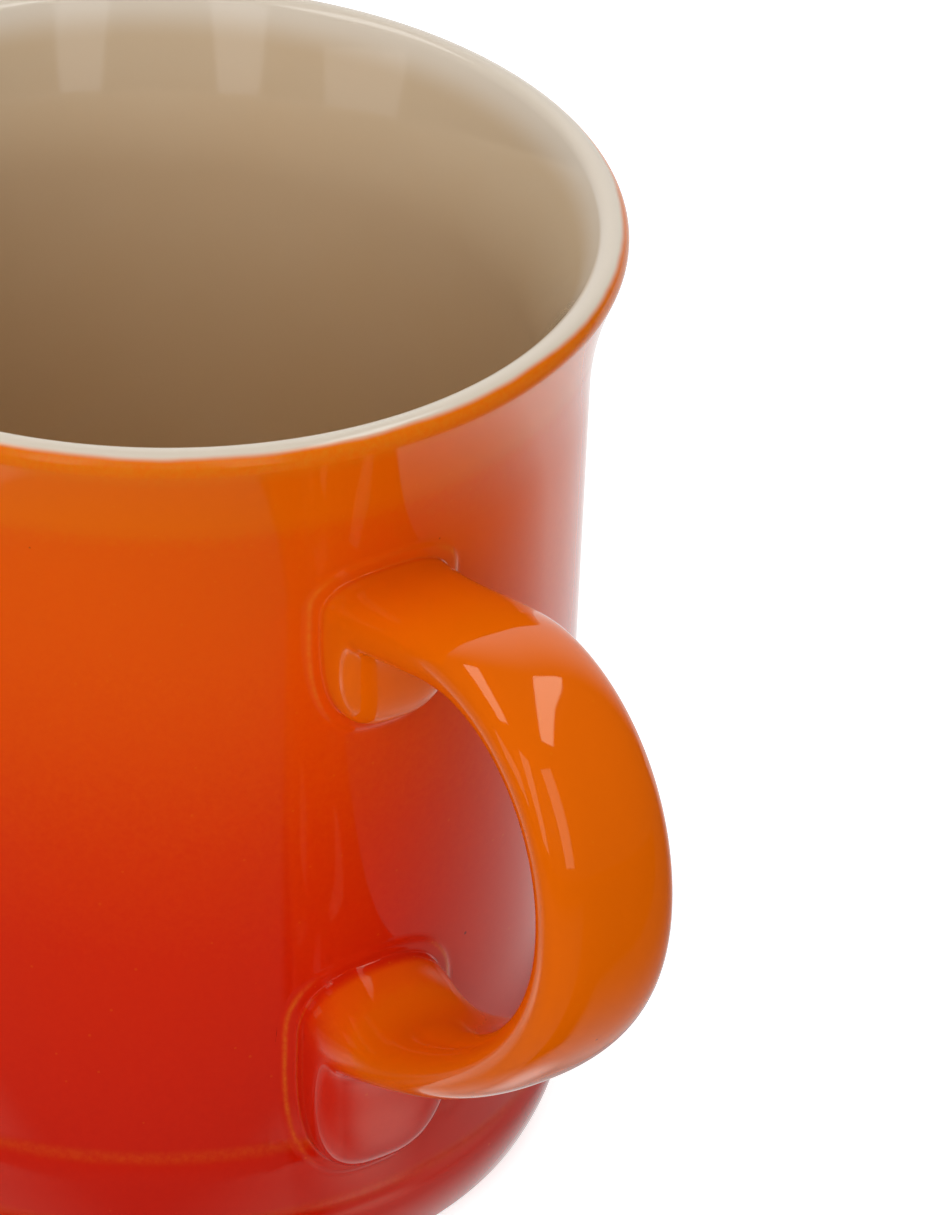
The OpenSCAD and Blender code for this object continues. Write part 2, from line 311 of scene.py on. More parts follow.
def strap_line(count):
    """Even points along the strap's middle line, their outward directions and the run to each."""
    t = np.linspace(0, 1, 400)[:, None]
    pieces = [(1 - t) ** 3 * a + 3 * t * (1 - t) ** 2 * b + 3 * t * t * (1 - t) * c + t ** 3 * d
              for a, b, c, d in STRAP_CURVES]
    line = np.concatenate([pieces[0], pieces[1][1:], pieces[2][1:]])
    run = np.concatenate([[0], np.cumsum(np.linalg.norm(np.diff(line, axis=0), axis=1))])
    even = np.linspace(0, run[-1], count)
    points = np.stack([np.interp(even, run, line[:, 0]), np.interp(even, run, line[:, 1])], 1)
    along = np.gradient(points, axis=0)
    along[0], along[-1] = (1, 0), (-1, 0)
    out = np.stack([-along[:, 1], along[:, 0]], 1)
    return points, out / np.linalg.norm(out, axis=1, keepdims=True), even


def ring_normals(rings):
    """Outward directions of a run of rings, from the lines along and round them."""
    about = np.roll(rings, -1, 1) - np.roll(rings, 1, 1)
    along = np.gradient(rings, axis=0)
    n = np.cross(about, along)
    return n / np.linalg.norm(n, axis=2, keepdims=True)


def strap_sections(count):
    """Rings of points on the strap's glaze from the upper root to the lower, and the run to each."""
    line, out, run = strap_line(count)
    back = run[-1] - run
    flare_up, flare_low = np.exp(-(run / FLARE_LEN) ** 2), np.exp(-(back / FLARE_LEN) ** 2)
    toe_up, toe_low = np.exp(-(run / TOE_T) ** 3), np.exp(-(back / TOE_T) ** 3)
    outer = STRAP_T / 2 + UPPER_SPREAD_UP * flare_up + LOWER_SPREAD_DOWN * toe_low
    inner = STRAP_T / 2 + UPPER_SPREAD_DOWN * toe_up + LOWER_SPREAD_UP * flare_low
    half = STRAP_W / 2 + UPPER_ROOT_EXTRA / 2 * flare_up + LOWER_ROOT_EXTRA / 2 * flare_low
    angles = 2 * np.pi * np.arange(AROUND) / AROUND
    c, s = np.cos(angles), np.sin(angles)
    toe = np.where(s > 0, toe_low[:, None], toe_up[:, None])
    power = 2 / (STRAP_SQUARE + (TOE_SQUARE - STRAP_SQUARE) * toe)
    y = half[:, None] * np.sign(c) * np.abs(c) ** power
    h = np.where(s > 0, outer[:, None], inner[:, None]) * np.sign(s) * np.abs(s) ** power
    x = CLAY_R + line[:, :1] + out[:, :1] * h
    z = line[:, 1:] + out[:, 1:] * h
    clay = np.stack([x, y, z], 2)
    return clay + COAT * ring_normals(clay), run


def on_wall(y, z):
    """A point of the wall's glaze at a place across and a height."""
    r = clay_at(z) + COAT
    return np.stack([np.sqrt(r * r - y * y), y, z], -1)


def wall_normals(points):
    """Outward directions of the wall at some of its points."""
    s = clay_slope(points[:, 2])
    r = np.hypot(points[:, 0], points[:, 1])
    n = np.stack([points[:, 0] / r, points[:, 1] / r, -s], 1)
    return n / np.linalg.norm(n, axis=1, keepdims=True)


def window_loop(first_row, top_down):
    """Numbers of the points round a window, from the middle of its +Y side towards the strap's outer side."""
    half = WINDOW_ROWS // 2
    side = [(WINDOW_HALF, r) for r in range(half, WINDOW_ROWS)]
    far = [(c, WINDOW_ROWS) for c in range(WINDOW_HALF, -WINDOW_HALF, -1)]
    back = [(-WINDOW_HALF, r) for r in range(WINDOW_ROWS, 0, -1)]
    near = [(c, 0) for c in range(-WINDOW_HALF, WINDOW_HALF)]
    rest = [(WINDOW_HALF, r) for r in range(0, half)]
    loop = side + far + back + near + rest
    return [(first_row + (WINDOW_ROWS - r if top_down else r)) * COLUMNS + c % COLUMNS for c, r in loop]


def loops_to_root(boundary, edge):
    """Loops on the wall between a window and the outer edge of a bead, closer together near the bead."""
    def flat(p):
        """Points of the wall unrolled: the way round it and the height."""
        return np.stack([np.arctan2(p[:, 1], p[:, 0]) * WALL_R, p[:, 2]], 1)

    a, b = flat(boundary), flat(edge)
    loops = []
    for i in range(1, WALL_LOOPS):
        t = 1 - (1 - i / WALL_LOOPS) ** CLOSER_TO_ROOT
        p = a + (b - a) * t
        r = clay_at(p[:, 1]) + COAT
        loops.append(np.stack([r * np.cos(p[:, 0] / WALL_R), r * np.sin(p[:, 0] / WALL_R), p[:, 1]], 1))
    return loops + [edge]


def bead_edge(ring):
    """The root's outline moved out along the wall by the width of the glazed bead round it."""
    lo, hi = ring[:, 2].min(), ring[:, 2].max()
    middle, h, w = (lo + hi) / 2, (hi - lo) / 2, ring[:, 1].max()
    return on_wall(ring[:, 1] * (w + BEAD_W) / w, middle + (ring[:, 2] - middle) * (h + BEAD_W) / h)


def rounded(corners):
    """A row of corners cut off twice, so that it becomes a smooth curve with the same ends."""
    p = np.array(corners, float)
    for _ in range(2):
        cut = np.stack([0.75 * p[:-1] + 0.25 * p[1:], 0.25 * p[:-1] + 0.75 * p[1:]], 1).reshape(-1, 2)
        p = np.concatenate([p[:1], cut, p[-1:]])
    return p


JOINT_CURVE = rounded(JOINT)[1:-1]


def joint_rings(edge, corner, side):
    """Rings round a root: from the wall over the bead, into the crease and up the side of the strap."""
    return [corner + (edge - corner) * d / BEAD_W + (side - corner) * h / SIDE_H for d, h in JOINT_CURVE]


def handle_rings():
    """All rings of the handle's glaze, from the upper bead's edge on the wall to the lower bead's edge."""
    sections, run = strap_sections(4 * STRAP_RINGS)
    corner_up = on_wall(sections[0][:, 1], sections[0][:, 2])
    corner_low = on_wall(sections[-1][:, 1], sections[-1][:, 2])
    edge_up, edge_low = bead_edge(corner_up), bead_edge(corner_low)

    def side(order):
        """Where each line of the strap has left the wall by the side's height, and the run there."""
        ring, at = np.zeros((AROUND, 3)), np.zeros(AROUND)
        for k in range(AROUND):
            path = sections[order, k]
            gap = path[:, 0] - on_wall(path[:, 1], path[:, 2])[:, 0]
            i = max(1, int(np.argmax(gap > SIDE_H)))
            t = (SIDE_H - gap[i - 1]) / (gap[i] - gap[i - 1])
            ring[k] = path[i - 1] * (1 - t) + path[i] * t
            at[k] = run[order[i - 1]] * (1 - t) + run[order[i]] * t
        return ring, at

    forward = np.arange(len(run))
    side_up, start = side(forward)
    side_low, stop = side(forward[::-1])
    rings = [edge_up] + joint_rings(edge_up, corner_up, side_up) + [side_up]
    # between the two joints each line of the strap is cut into steps, finer near the roots
    for i in range(1, STRAP_RINGS):
        t = i / STRAP_RINGS
        at = start + (stop - start) * (EVEN_SHARE * t + (1 - EVEN_SHARE) * float(ease(t)))
        rings.append(np.array([[np.interp(at[k], run, sections[:, k, axis]) for axis in range(3)]
                               for k in range(AROUND)]))
    rings += [side_low] + joint_rings(edge_low, corner_low, side_low)[::-1] + [edge_low]
    return np.array(rings)


def ring_faces(loops):
    """Quads between loops of points round the strap: each loop is a list of point numbers."""
    faces = []
    for a, b in zip(loops[:-1], loops[1:]):
        for k in range(AROUND):
            j = (k + 1) % AROUND
            faces.append((a[k], a[j], b[j], b[k]))
    return faces


def thin_on_wall(z):
    """How far the outer glaze drew back from the lip's edge when it melted, from 0 to 1."""
    starts_below, fades_over, most = 2.5, 3.5, 0.75
    return most * ease((z - LIP_Z + starts_below) / fades_over)


def thin_at_joint(root):
    """The same for the rings of a joint: on the bead and at the foot of the root, at the root's two sides."""
    sides = ease((np.abs(root[:, 1]) / root[:, 1].max() - 0.6) / 0.4)
    on_bead = 0.6 * bump(JOINT_CURVE[:, 0], middle=1.1, width=0.2)
    on_root = 0.3 * bump(JOINT_CURVE[:, 1], middle=0.55, width=0.12)
    return [t * sides for t in on_bead + on_root]


def outer_coats(glaze):
    """The wall's glaze and the handle's, which are one smooth skin parted at the edge of each bead."""
    profile, first_wall_row = outer_profile()
    wall, wall_out = turned(profile, COLUMNS)
    points, normals, thin = [wall], [wall_out], [thin_on_wall(wall[:, 2])]
    lower_first = first_wall_row + WALL_ROWS.index(LOWER_WINDOW[0])
    upper_first = first_wall_row + WALL_ROWS.index(UPPER_WINDOW[0])

    def in_window(row, column):
        """Whether a quad of the wall lies in the window round a root."""
        across = (column + WINDOW_HALF) % COLUMNS < 2 * WINDOW_HALF
        return across and any(first <= row < first + WINDOW_ROWS for first in (lower_first, upper_first))

    def add_loops(loops, loop_normals, loop_thin):
        """Adds loops of points to the skin and gives their numbers."""
        first = sum(len(p) for p in points)
        points.extend(loops)
        normals.extend(loop_normals)
        thin.extend(loop_thin)
        return [list(range(first + i * AROUND, first + (i + 1) * AROUND)) for i in range(len(loops))]

    def add_wall_loops(boundary, edge):
        """Fills a window of the wall up to the edge of its bead."""
        loops = loops_to_root(wall[boundary], edge)
        return add_loops(loops, [wall_normals(p) for p in loops], [thin_on_wall(p[:, 2]) for p in loops])

    rings = handle_rings()
    ring_out = ring_normals(rings)
    upper_boundary, lower_boundary = window_loop(upper_first, False), window_loop(lower_first, True)
    upper_ids = add_wall_loops(upper_boundary, rings[0])
    lower_ids = add_wall_loops(lower_boundary, rings[-1])
    upper_thin, lower_thin = thin_at_joint(rings[0]), thin_at_joint(rings[-1])
    strap_thin = [np.zeros(AROUND)] * (len(rings) - 2 - len(upper_thin) - len(lower_thin))
    strap_ids = add_loops(rings[1:-1], ring_out[1:-1], upper_thin + strap_thin + lower_thin[::-1])

    body_faces = turned_faces(len(profile), COLUMNS, in_window)
    body_faces += ring_faces([upper_boundary] + upper_ids)
    body_faces += ring_faces(lower_ids[::-1] + [lower_boundary])
    handle_faces = ring_faces([upper_ids[-1]] + strap_ids + [lower_ids[-1]])
    skin = np.concatenate(points), np.concatenate(normals)
    thin = np.concatenate(thin)
    make_piece("body_glaze_coat", *skin, body_faces, glaze, "body_glaze", "body_glaze", thin)
    make_piece("handle_glaze_coat", *skin, handle_faces, glaze, "handle_glaze", "handle_glaze", thin)


def liner_coat(glaze):
    """The cream coat inside and over the lip."""
    profile = inside_profile(COAT)
    faces = turned_faces(len(profile), COLUMNS)
    make_piece("liner_glaze_coat", *turned(profile, COLUMNS), faces, glaze, "liner_glaze", "liner_glaze")


def clay_body(clay):
    """The turned stoneware, which shows at the foot ring and the underside."""
    profile = clay_profile()
    faces = turned_faces(len(profile), CLAY_COLUMNS)
    make_piece("stoneware_body", *turned(profile, CLAY_COLUMNS), faces, clay, "stoneware", "mug_body")


def hex_colour(code):
    """sRGB hex to a linear RGBA colour."""
    parts = [int(code[i:i + 2], 16) / 255 for i in (1, 3, 5)]
    return [p / 12.92 if p <= 0.04045 else ((p + 0.055) / 1.055) ** 2.4 for p in parts] + [1.0]


def add(tree, kind, links=None, stops=(), **settings):
    """One node: its settings, what goes into its sockets, and a ramp's colour stops in order."""
    node = tree.nodes.new(kind)
    for key, value in settings.items():
        setattr(node, key, value)
    for socket, value in (links or {}).items():
        if isinstance(value, bpy.types.NodeSocket):
            tree.links.new(value, node.inputs[socket])
        else:
            node.inputs[socket].default_value = value
    for position, _ in stops[1:-1]:
        node.color_ramp.elements.new(position)
    for i, (position, code) in enumerate(stops):
        stop = node.color_ramp.elements[i]
        stop.position, stop.color = position, hex_colour(code)
    return node


def new_material(name):
    """An empty material, and places on the mug in millimetres to draw its patterns with."""
    material = bpy.data.materials.new(name)
    material.use_nodes = True
    tree = material.node_tree
    tree.nodes.clear()
    place = add(tree, "ShaderNodeTexCoord").outputs["Object"]
    mm = add(tree, "ShaderNodeVectorMath", {0: place, "Scale": 1 / MM}, operation="SCALE").outputs["Vector"]
    return material, tree, mm


# the cream where it thins over the lip, and the white of the studio
CREAM = "#EADCC9"
WHITE = "#FFFFFF"

# sizes of the patterns in the glazes, the clay and the paper, in millimetres
SEAM_WAVE = 8.33
SEAM_DEPTH = 0.6
GLAZE_WAVE = 11.76
GLAZE_PEEL = 2.222
SPRAY_MIST = 0.769
SPRAY_DRIFT = 33.3
LINER_CLOUD = 16.67
CLAY_GRAIN = 0.4545
TURNING_LINE = 1.257
PAPER_FIBRE = 1.25

# the spray's colour by height in millimetres, and how far its mist and drifts blur that height
SPRAY_FADE = [(14.4, "#D01A08"), (30, "#DA2208"), (42.6, "#DF2907"), (55, "#E63806"), (67.6, "#ED4A05"),
              (80, "#F25705"), (92.6, "#F35E05"), (102, "#F36904"), (115, "#F46C02")]
FADE_H = 120.0
MIST_BLUR = 13.0
DRIFT_BLUR = 8.0

# the handle's leg, where the wall's red gives way to orange along a slant: how far the slant drops for each
# millimetre out, the heights on the mug's axis that it drops from where red ends and where orange is full,
# and how far up the fade that orange is taken from
LEG_SLANT = 0.9
LEG_RED = 73.5
LEG_ORANGE = 87.0
LEG_RAISE = 75.0


def past_meeting(tree, mm):
    """How far the cream has run, 0 on the outer glaze and 1 on the liner, and the radius and height."""
    a = math.radians(MEET_ANGLE)
    r, z = LIP_R + LIP_ROUND * math.cos(a), LIP_Z + LIP_ROUND * math.sin(a)
    xyz = add(tree, "ShaderNodeSeparateXYZ", {0: mm}).outputs
    level = add(tree, "ShaderNodeCombineXYZ", {"X": xyz["X"], "Y": xyz["Y"]}).outputs[0]
    radius = add(tree, "ShaderNodeVectorMath", {0: level}, operation="LENGTH").outputs["Value"]
    along = add(tree, "ShaderNodeVectorMath",
                {0: add(tree, "ShaderNodeCombineXYZ", {"X": radius, "Y": xyz["Z"]}).outputs[0],
                 1: (-math.sin(a), math.cos(a), 0)}, operation="DOT_PRODUCT").outputs["Value"]
    # the run's edge wavers by a few tenths of a millimetre round the lip
    waver = add(tree, "ShaderNodeTexNoise",
                {"Vector": mm, "Scale": 1 / SEAM_WAVE, "Detail": 2.0}).outputs["Fac"]
    run = add(tree, "ShaderNodeMath", {0: waver, 1: SEAM_DEPTH, 2: along},
              operation="MULTIPLY_ADD").outputs[0]
    seam = -math.sin(a) * r + math.cos(a) * z + SEAM_DEPTH / 2
    share = add(tree, "ShaderNodeMapRange", {"Value": run, "From Min": seam - 0.55, "From Max": seam + 0.25},
                interpolation_type="SMOOTHSTEP").outputs[0]
    return share, radius, xyz["Z"]


def fired_bump(tree, mm, wave_depth, peel_depth):
    """The long waver and fine peel of fired glaze, as a bump that bends its reflections a little."""
    wave = add(tree, "ShaderNodeTexNoise",
               {"Vector": mm, "Scale": 1 / GLAZE_WAVE, "Detail": 1.0}).outputs["Fac"]
    peel = add(tree, "ShaderNodeTexNoise",
               {"Vector": mm, "Scale": 1 / GLAZE_PEEL, "Detail": 2.0}).outputs["Fac"]
    waved = add(tree, "ShaderNodeBump", {"Height": wave, "Distance": wave_depth * MM, "Strength": 1.0})
    return add(tree, "ShaderNodeBump", {"Height": peel, "Distance": peel_depth * MM, "Strength": 1.0,
                                        "Normal": waved.outputs[0]}).outputs[0]


def specks(tree, mm, ground, code, spacing, core, edge, most):
    """Round specks over a ground colour; their spacing and the radii of core and edge are in millimetres."""
    away = add(tree, "ShaderNodeTexVoronoi", {"Vector": mm, "Scale": 1 / spacing}).outputs["Distance"]
    share = add(tree, "ShaderNodeMapRange",
                {"Value": away, "From Min": core / spacing, "From Max": edge / spacing,
                 "To Min": most, "To Max": 0.0}).outputs[0]
    return add(tree, "ShaderNodeMix", {"Factor": share, 6: ground, 7: hex_colour(code)},
               data_type="RGBA").outputs[2]


def sprayed_fade(tree, mm, mist, off_wall, radius, z):
    """The spray's colour, from red at the foot to orange at the lip."""
    # the handle was sprayed orange down to its lower root, where the red of the wall runs up over the toe
    leg = add(tree, "ShaderNodeMath", {0: radius, 1: LEG_SLANT, 2: z}, operation="MULTIPLY_ADD").outputs[0]
    raised = add(tree, "ShaderNodeMapRange",
                 {"Value": leg, "From Min": LEG_RED, "From Max": LEG_ORANGE, "To Max": LEG_RAISE},
                 interpolation_type="SMOOTHSTEP").outputs[0]
    height = add(tree, "ShaderNodeMath", {0: raised, 1: off_wall, 2: z}, operation="MULTIPLY_ADD").outputs[0]
    drift = add(tree, "ShaderNodeTexNoise",
                {"Vector": mm, "Scale": 1 / SPRAY_DRIFT, "Detail": 1.0}).outputs["Fac"]
    for cloud, blur in ((mist, MIST_BLUR), (drift, DRIFT_BLUR)):
        height = add(tree, "ShaderNodeMath", {0: cloud, 1: blur, 2: height},
                     operation="MULTIPLY_ADD").outputs[0]
    middle = (MIST_BLUR + DRIFT_BLUR) / 2
    share = add(tree, "ShaderNodeMapRange",
                {"Value": height, "From Min": middle, "From Max": middle + FADE_H}).outputs[0]
    return add(tree, "ShaderNodeValToRGB", {0: share},
               stops=[(at / FADE_H, code) for at, code in SPRAY_FADE]).outputs[0]


def thinned(tree, z, off_wall):
    """Where the glaze is thin: at the edges that the mesh names, and along the top of each step."""
    thin = add(tree, "ShaderNodeAttribute", attribute_name="thin_glaze").outputs["Fac"]
    wall_only = add(tree, "ShaderNodeMath", {0: 1.0, 1: off_wall}, operation="SUBTRACT").outputs[0]
    line_half = 1.2
    for step_z, most in ((UPPER_STEP_Z, 0.2), (LOWER_STEP_Z, 0.14)):
        off = add(tree, "ShaderNodeMath", {0: z, 1: step_z + 0.33 * STEP_H}, operation="SUBTRACT").outputs[0]
        off = add(tree, "ShaderNodeMath", {0: off}, operation="ABSOLUTE").outputs[0]
        line = add(tree, "ShaderNodeMapRange", {"Value": off, "From Min": 0.0, "From Max": line_half,
                                                "To Min": most, "To Max": 0.0},
                   interpolation_type="SMOOTHSTEP").outputs[0]
        thin = add(tree, "ShaderNodeMath", {0: line, 1: wall_only, 2: thin},
                   operation="MULTIPLY_ADD").outputs[0]
    return thin


def sprayed_gloss_glaze():
    """Gloss glaze sprayed orange over red: saturated colour under clear mirror-like glass, fine speckles."""
    material, tree, mm = new_material("sprayed_gloss_glaze")
    cream, radius, z = past_meeting(tree, mm)
    off_wall = add(tree, "ShaderNodeMapRange",
                   {"Value": radius, "From Min": WALL_R + 0.4, "From Max": WALL_R + 2.2},
                   interpolation_type="SMOOTHSTEP").outputs[0]
    mist = add(tree, "ShaderNodeTexNoise", {"Vector": mm, "Scale": 1 / SPRAY_MIST, "Detail": 3.0,
                                            "Roughness": 0.7}).outputs["Fac"]
    fade = sprayed_fade(tree, mm, mist, off_wall, radius, z)
    # single droplets of orange, drawn about 0.3 mm across so that they show, and a few dark specks of iron
    dotted = specks(tree, mm, fade, "#F58A1C", spacing=2.857, core=0.1143, edge=0.2, most=0.13)
    specked = specks(tree, mm, dotted, "#5B1408", spacing=9.09, core=0.1273, edge=0.2182, most=0.8)
    # where the glaze drew back it breaks to a speckled golden orange and is less of a mirror
    thin = thinned(tree, z, off_wall)
    speckle = add(tree, "ShaderNodeMapRange", {"Value": mist, "From Min": 0.3, "From Max": 0.7,
                                               "To Min": 0.2, "To Max": 0.7}).outputs[0]
    broken = add(tree, "ShaderNodeMath", {0: thin, 1: speckle}, operation="MULTIPLY").outputs[0]
    golden = add(tree, "ShaderNodeMix", {"Factor": broken, 6: specked, 7: hex_colour("#EC8C20")},
                 data_type="RGBA").outputs[2]
    colour = add(tree, "ShaderNodeMix", {"Factor": cream, 6: golden, 7: hex_colour(CREAM)},
                 data_type="RGBA").outputs[2]
    glassy = add(tree, "ShaderNodeMapRange", {"Value": thin, "To Min": 0.5, "To Max": 0.2}).outputs[0]
    rough = add(tree, "ShaderNodeMapRange", {"Value": mist, "To Min": 0.035, "To Max": 0.065}).outputs[0]
    rough = add(tree, "ShaderNodeMath", {0: thin, 1: 0.12, 2: rough}, operation="MULTIPLY_ADD").outputs[0]
    shader = add(tree, "ShaderNodeBsdfPrincipled",
                 {"Base Color": colour, "Roughness": rough, "IOR": 1.56, "Specular IOR Level": glassy,
                  "Specular Tint": hex_colour("#FFF4D6"),
                  "Normal": fired_bump(tree, mm, wave_depth=0.03, peel_depth=0.003)})
    add(tree, "ShaderNodeOutputMaterial", {"Surface": shader.outputs[0]})
    return material


def cream_liner_glaze():
    """Opaque gloss liner glaze, put on by pouring: an even warm cream, softly mirroring, with a rare brown
    speck.
    """
    material, tree, mm = new_material("cream_liner_glaze")
    cream, radius, z = past_meeting(tree, mm)
    # it is warmer and darker towards the bottom, with soft clouds
    cloud = add(tree, "ShaderNodeTexNoise",
                {"Vector": mm, "Scale": 1 / LINER_CLOUD, "Detail": 3.0}).outputs["Fac"]
    tone_by_height = add(tree, "ShaderNodeMapRange", {"Value": z, "From Min": 45.0, "From Max": 100.0,
                                              "To Min": -0.15, "To Max": 0.55}).outputs[0]
    tone_by_height = add(tree, "ShaderNodeMath", {0: cloud, 1: 0.3, 2: tone_by_height}, operation="MULTIPLY_ADD").outputs[0]
    body = add(tree, "ShaderNodeValToRGB", {0: tone_by_height},
               stops=[(0.0, "#D4B183"), (0.35, "#D4B58D"), (0.7, "#D6BD9C")]).outputs[0]
    specked = specks(tree, mm, body, "#6B4A2C", spacing=11.11, core=0.1333, edge=0.2444, most=0.7)
    # it thins to a paler cream over the lip, and to orange where it meets the outer glaze
    thin = add(tree, "ShaderNodeMapRange", {"Value": z, "From Min": 101.5, "From Max": 105.4},
               interpolation_type="SMOOTHSTEP").outputs[0]
    paler = add(tree, "ShaderNodeMix", {"Factor": thin, 6: specked, 7: hex_colour(CREAM)},
                data_type="RGBA").outputs[2]
    inward = add(tree, "ShaderNodeMapRange", {"Value": radius, "From Min": 46.9, "From Max": 46.3}).outputs[0]
    run = add(tree, "ShaderNodeMath", {0: cream, 1: inward}, operation="MAXIMUM").outputs[0]
    colour = add(tree, "ShaderNodeMix", {"Factor": run, 6: hex_colour("#EB8A3A"), 7: paler},
                 data_type="RGBA").outputs[2]
    shader = add(tree, "ShaderNodeBsdfPrincipled",
                 {"Base Color": colour, "Roughness": 0.07, "IOR": 1.54,
                  "Normal": fired_bump(tree, mm, wave_depth=0.02, peel_depth=0.003)})
    add(tree, "ShaderNodeOutputMaterial", {"Surface": shader.outputs[0]})
    return material


def bare_stoneware(name, pale, dark):
    """Unglazed fired clay, turned and sponged: matt, buff, with sand grains and faint turning lines."""
    material, tree, mm = new_material(name)
    grain = add(tree, "ShaderNodeTexNoise", {"Vector": mm, "Scale": 1 / CLAY_GRAIN, "Detail": 4.0,
                                             "Roughness": 0.7}).outputs["Fac"]
    body = add(tree, "ShaderNodeValToRGB", {0: grain}, stops=[(0.36, dark), (0.62, pale)]).outputs[0]
    colour = specks(tree, mm, body, "#7E5C3C", spacing=2.0, core=0.14, edge=0.26, most=0.7)
    # a wave texture of scale 1 has a ring every pi / 10
    lines = add(tree, "ShaderNodeTexWave", {"Vector": mm, "Scale": math.pi / 10 / TURNING_LINE,
                                            "Distortion": 1.5, "Detail": 2.0},
                wave_type="RINGS", rings_direction="Z").outputs["Fac"]
    turning = add(tree, "ShaderNodeBump", {"Height": lines, "Distance": 0.05 * MM, "Strength": 1.0})
    sandy = add(tree, "ShaderNodeBump", {"Height": grain, "Distance": 0.08 * MM, "Strength": 1.0,
                                         "Normal": turning.outputs[0]})
    shader = add(tree, "ShaderNodeBsdfPrincipled",
                 {"Base Color": colour, "Roughness": 0.85, "IOR": 1.5, "Normal": sandy.outputs[0]})
    add(tree, "ShaderNodeOutputMaterial", {"Surface": shader.outputs[0]})
    return material


stoneware = bare_stoneware("bare_fired_stoneware", "#D6C1A2", "#BFA684")
slip = bare_stoneware("fired_joining_slip", "#DCCBB0", "#CDB795")
outer_coats(sprayed_gloss_glaze())
liner_coat(cream_liner_glaze())
clay_body(stoneware)

# the strap's clay and the two beads of slip stay as they are under the glaze
for name, material in (("handle", stoneware), ("upper_slip_joint", slip), ("lower_slip_joint", slip)):
    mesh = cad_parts[name].data
    mesh.materials.clear()
    mesh.materials.append(material)

# the camera, at the photograph's place: out and up from the mug's foot, in millimetres and degrees
CAMERA_OUT = 613.9
CAMERA_Z = 466.2
CAMERA_TURN = 59.0
CAMERA_YAW = 3.119
CAMERA_PITCH = 33.611
CAMERA_ROLL = -2.488
CAMERA_LENS = 207.41
SENSOR_H = 36.0
STUDIO_TURN = Matrix.Rotation(math.radians(CAMERA_TURN), 3, "Z")


def studio(across, away, up):
    """A direction or place in the studio, as the camera sees it: across to the right, away and up."""
    return STUDIO_TURN @ Vector((across, away, up))


def photograph_camera():
    """The camera that the photograph was taken with, as fitted to the mug's rim, foot and wall."""
    yaw, pitch, roll = (math.radians(a) for a in (CAMERA_YAW, CAMERA_PITCH, CAMERA_ROLL))
    look = Vector((math.sin(yaw) * math.cos(pitch), math.cos(yaw) * math.cos(pitch), -math.sin(pitch)))
    right = Vector((math.cos(yaw), -math.sin(yaw), 0))
    down = look.cross(right)
    c, s = math.cos(roll), math.sin(roll)
    right, down = right * c + down * s, down * c - right * s
    axes = Matrix((STUDIO_TURN @ right, STUDIO_TURN @ -down, STUDIO_TURN @ -look)).transposed().to_4x4()
    data = bpy.data.cameras.new("camera")
    data.sensor_fit = "VERTICAL"
    data.sensor_height = SENSOR_H
    data.lens = CAMERA_LENS
    data.clip_start = 10 * MM
    camera = bpy.data.objects.new("camera", data)
    bpy.context.scene.collection.objects.link(camera)
    camera.matrix_world = Matrix.Translation(studio(0, -CAMERA_OUT, CAMERA_Z) * MM) @ axes
    return camera


bpy.context.scene.camera = photograph_camera()

# the middle of the mug, which every lamp faces
AIM = Vector((0, 0, 0.055))


def softbox(name, place, tall, width, height, radiance, mirrored=True):
    """A soft lamp at a place in the studio, in metres, that faces the mug; its height runs along tall."""
    light = bpy.data.lights.new(name, "AREA")
    light.shape = "RECTANGLE"
    light.size, light.size_y = width, height
    light.energy = radiance * math.pi * width * height
    lamp = bpy.data.objects.new(name, light)
    bpy.context.scene.collection.objects.link(lamp)
    z = (place - AIM).normalized()
    y = (tall - z * tall.dot(z)).normalized()
    lamp.matrix_world = Matrix.Translation(place) @ Matrix((y.cross(z), y, z)).transposed().to_4x4()
    lamp.visible_camera = False
    lamp.visible_glossy = mirrored


def around(azimuth, elevation, distance):
    """A place round the mug: azimuth 0 is towards the camera and 90 to its right, in degrees and metres."""
    a, e = math.radians(azimuth), math.radians(elevation)
    return distance * studio(math.sin(a) * math.cos(e), -math.cos(a) * math.cos(e), math.sin(e))


UP, AWAY = studio(0, 0, 1), studio(0, 1, 0)
softbox("left_overhead_strip", studio(-0.37, 0.05, 0.90), AWAY, 0.22, 0.65, 2.6)
softbox("right_overhead_strip", studio(0.32, 0.05, 0.90), AWAY, 0.14, 0.65, 3.2)
softbox("front_left_window", around(-22, 32, 1.3), UP, 0.28, 1.15, 1.1)
softbox("front_right_window", around(22, 32, 1.3), UP, 0.28, 1.15, 1.1)
softbox("side_left_window", around(-58, 20, 1.3), UP, 0.50, 0.45, 0.8)
softbox("front_fill", around(-14, 32, 1.5), UP, 1.5, 1.0, 2.1, mirrored=False)
softbox("right_fill", around(95, 6, 1.0), UP, 0.9, 0.25, 1.3, mirrored=False)
softbox("top_fill", studio(0.1, 0.35, 1.3), AWAY, 1.2, 0.9, 1.1, mirrored=False)


